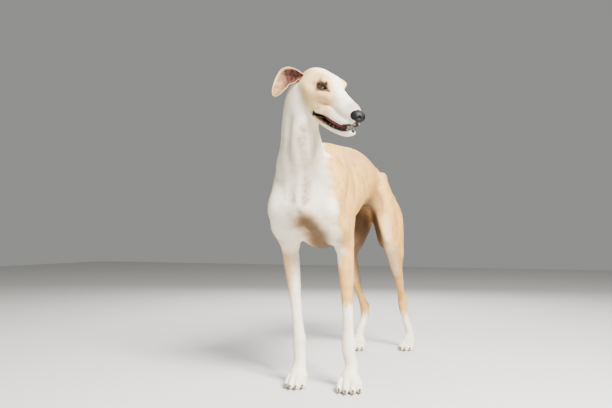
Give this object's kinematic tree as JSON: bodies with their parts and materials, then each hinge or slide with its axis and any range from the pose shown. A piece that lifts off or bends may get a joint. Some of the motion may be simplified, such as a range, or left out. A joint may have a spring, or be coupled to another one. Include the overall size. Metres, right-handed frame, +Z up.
{
  "type": "greyhound",
  "caption": "Life-size standing greyhound, a still museum model: fawn and white coat, head turned to its left with the mouth open, ears folded back, tail hanging low",
  "frame": {"origin": "on the floor, under the middle of the dog's bounding box", "axes": "+X to the dog's left, +Y to its rear, +Z up; the dog faces -Y"},
  "size_m": [0.3352, 1.0298, 0.8654],
  "materials": {
    "torso_coat": "short smooth fawn coat",
    "neck_coat": "short smooth cream-white coat",
    "head_coat": "short smooth cream coat",
    "jaw_coat": "short smooth pale coat",
    "tongue_skin": "moist",
    "nose_leather": "moist, finely pebbled",
    "ear_left_coat": "very short velvety coat",
    "ear_right_coat": "very short velvety coat",
    "eye_left_surface": "wet, dark brown",
    "eye_right_surface": "wet, dark brown",
    "foreleg_left_coat": "short smooth coat, fawn above white",
    "foreleg_right_coat": "short smooth white coat",
    "forepaw_left_coat": "short white coat",
    "forepaw_right_coat": "short white coat",
    "hindleg_left_coat": "short smooth fawn coat",
    "hindleg_right_coat": "short smooth fawn coat",
    "hindpaw_left_coat": "short white coat",
    "hindpaw_right_coat": "short white coat",
    "tail_coat": "short smooth fawn coat"
  },
  "bodies": {
    "root": {"torso": "torso_coat", "neck": "neck_coat", "head": "head_coat", "lower_jaw": "jaw_coat", "tongue": "tongue_skin", "nose": "nose_leather", "ear_left": "ear_left_coat", "ear_right": "ear_right_coat", "eye_left": "eye_left_surface", "eye_right": "eye_right_surface", "foreleg_left": "foreleg_left_coat", "foreleg_right": "foreleg_right_coat", "forepaw_left": "forepaw_left_coat", "forepaw_right": "forepaw_right_coat", "hindleg_left": "hindleg_left_coat", "hindleg_right": "hindleg_right_coat", "hindpaw_left": "hindpaw_left_coat", "hindpaw_right": "hindpaw_right_coat", "tail": "tail_coat"}
  },
  "joints": []
}
